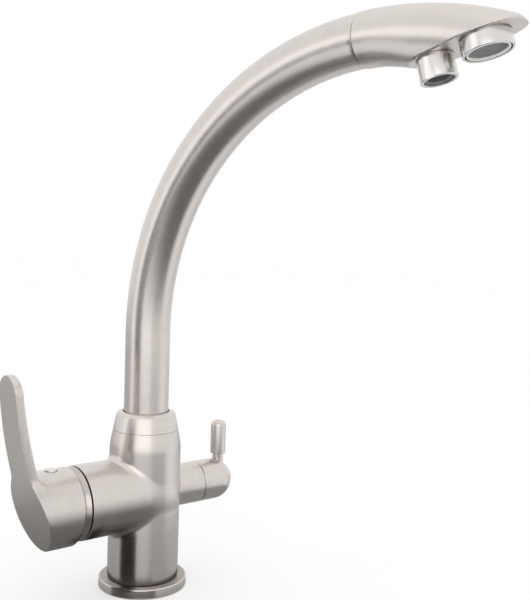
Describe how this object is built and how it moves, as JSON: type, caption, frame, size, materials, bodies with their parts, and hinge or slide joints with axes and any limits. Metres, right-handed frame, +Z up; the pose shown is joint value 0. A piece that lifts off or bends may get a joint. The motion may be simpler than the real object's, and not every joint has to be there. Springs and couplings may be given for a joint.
{
  "type": "three-way kitchen tap",
  "caption": "Tall gooseneck kitchen tap with a side mixer lever, a small filter knob with a pin, and a swivel spout whose head holds a wide aerator and a narrow filtered-water nozzle.",
  "frame": {"origin": "centre of the base's underside, on the worktop", "axes": "+Z up; +X from the column towards the filter knob, so the mixer lever is towards -X; -Y to the front, where the spout points"},
  "size_m": [0.1599, 0.2643, 0.3414],
  "materials": {
    "satin_nickel": "satin brushed nickel",
    "bright_nickel": "bright plated",
    "brass": "machined",
    "steel": "plain stainless steel",
    "rubber": "matt black seal rubber",
    "dark_plastic": "moulded dark grey",
    "white_plastic": "moulded white",
    "ceramic": "lapped ceramic"
  },
  "bodies": {
    "body": {"tap_body": "satin_nickel", "base_flange": "satin_nickel", "base_gasket": "rubber", "spout_collar": "satin_nickel", "thrust_washer": "white_plastic", "upper_bush": "white_plastic", "cartridge_base": "dark_plastic", "cartridge_seals": "rubber", "fixed_disc": "ceramic", "cartridge_case": "dark_plastic", "cartridge_nut": "brass", "dome_cap": "bright_nickel", "filter_housing": "brass", "filter_seat": "rubber", "filter_fixed_disc": "ceramic"},
    "turret": {"cartridge_turret": "white_plastic", "stem_pin": "steel"},
    "lever": {"cartridge_stem": "steel", "mixer_lever": "satin_nickel", "grub_screw": "steel", "index_plug": "bright_nickel"},
    "disc": {"moving_disc": "ceramic", "disc_carrier": "dark_plastic"},
    "filter": {"filter_moving_disc": "ceramic", "filter_stem": "brass", "filter_stem_seal": "rubber", "filter_clip": "steel", "filter_knob": "satin_nickel", "filter_pin": "satin_nickel"},
    "spout": {"spout_tube": "satin_nickel", "spout_sleeve": "brass", "sleeve_seals": "rubber", "filter_tube": "white_plastic", "filter_nipple": "brass", "nipple_seals": "rubber", "spout_head": "satin_nickel", "head_seal": "rubber", "aerator_housing": "bright_nickel", "aerator_seal": "rubber", "aerator_insert": "white_plastic", "aerator_mesh": "steel", "nozzle_housing": "bright_nickel", "nozzle_seal": "rubber", "nozzle_insert": "dark_plastic"}
  },
  "joints": [
    {"name": "spout_swivel", "type": "hinge", "parent": "body", "child": "spout", "pos_m": [0, 0, 0.09], "axis": [0, 0, 1], "continuous": true},
    {"name": "lever_turn", "type": "hinge", "parent": "body", "child": "turret", "pos_m": [-0.038, 0, 0.0606], "axis": [1, 0, 0], "range_deg": [-45, 45]},
    {"name": "lever_lift", "type": "hinge", "parent": "turret", "child": "lever", "pos_m": [-0.038, 0, 0.0606], "axis": [0, -1, 0], "range_deg": [0, 22]},
    {"name": "disc_slide", "type": "slide", "parent": "turret", "child": "disc", "axis": [0, 0, 1], "range_m": [0, 0.00216]},
    {"name": "filter_turn", "type": "hinge", "parent": "body", "child": "filter", "pos_m": [0.05, 0, 0.0606], "axis": [1, 0, 0], "range_deg": [0, 90]}
  ],
  "couplings": [
    {"joint": "disc_slide", "follows": "lever_lift", "m_per_rad": 0.0056}
  ]
}
